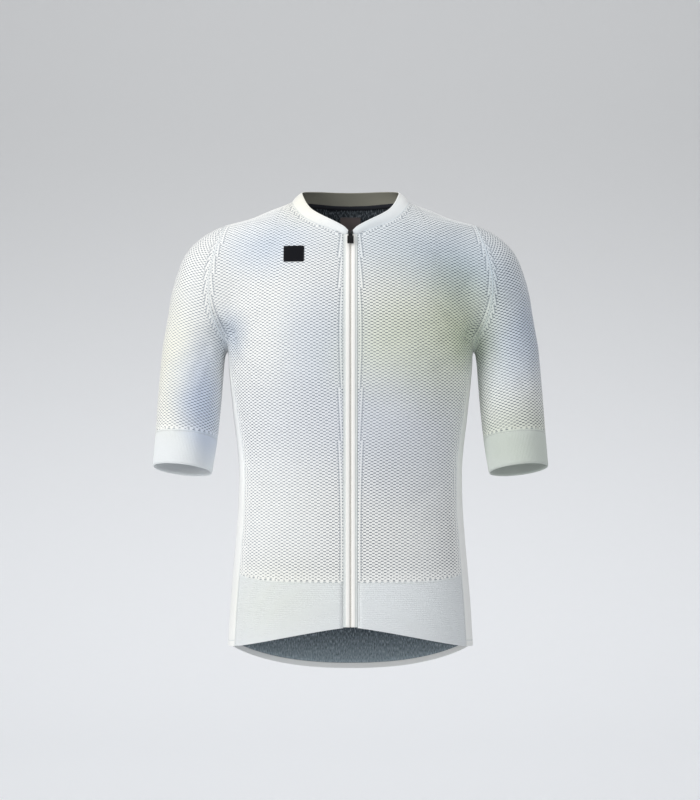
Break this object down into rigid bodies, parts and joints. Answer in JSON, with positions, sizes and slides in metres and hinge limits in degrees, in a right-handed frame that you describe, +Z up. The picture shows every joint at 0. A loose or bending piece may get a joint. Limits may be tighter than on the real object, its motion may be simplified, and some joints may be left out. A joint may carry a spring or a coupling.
{
  "type": "cycling jersey",
  "caption": "Short-sleeved cycling jersey in white open knit, full-length front zip, low collar, ribbed cuffs and hem bands, in its hollow worn form",
  "frame": {"origin": "midway between the points where the shoulder seams meet the collar, on the ridge of the shoulders", "axes": "+X to the wearer's left, -Y to the front, +Z up"},
  "size_m": [0.5678, 0.2414, 0.7094],
  "materials": {
    "mesh_cloth": "white open knit with soft pastel washes",
    "smooth_cloth": "fine smooth knit",
    "rib_cloth": "fine ribbed elastic knit",
    "zip_tape": "matt woven tape",
    "zip_chain": "moulded coil",
    "zip_slider": "satin black",
    "zip_pull": "satin black",
    "patch": "coated, slightly glossy",
    "label": "woven satin"
  },
  "bodies": {
    "garment": {"front_right_top": "mesh_cloth", "front_left_top": "mesh_cloth", "back_top": "mesh_cloth", "front_right": "mesh_cloth", "hem_front_right": "rib_cloth", "zip_tape_right": "zip_tape", "side_panel_right": "smooth_cloth", "sleeve_right": "mesh_cloth", "cuff_right": "rib_cloth", "front_left": "mesh_cloth", "hem_front_left": "rib_cloth", "zip_tape_left": "zip_tape", "side_panel_left": "smooth_cloth", "sleeve_left": "mesh_cloth", "cuff_left": "rib_cloth", "back": "mesh_cloth", "hem_back": "smooth_cloth", "collar": "smooth_cloth", "zip_chain": "zip_chain", "rear_pockets": "mesh_cloth", "neck_label": "label", "chest_patch": "patch", "zip_slider": "zip_slider"},
    "pull": {"zip_pull": "zip_pull"}
  },
  "joints": [
    {"name": "pull_hinge", "type": "hinge", "parent": "garment", "child": "pull", "pos_m": [0, -0.08386, -0.04575], "axis": [-1, 0, 0], "range_deg": [0, 160]}
  ]
}
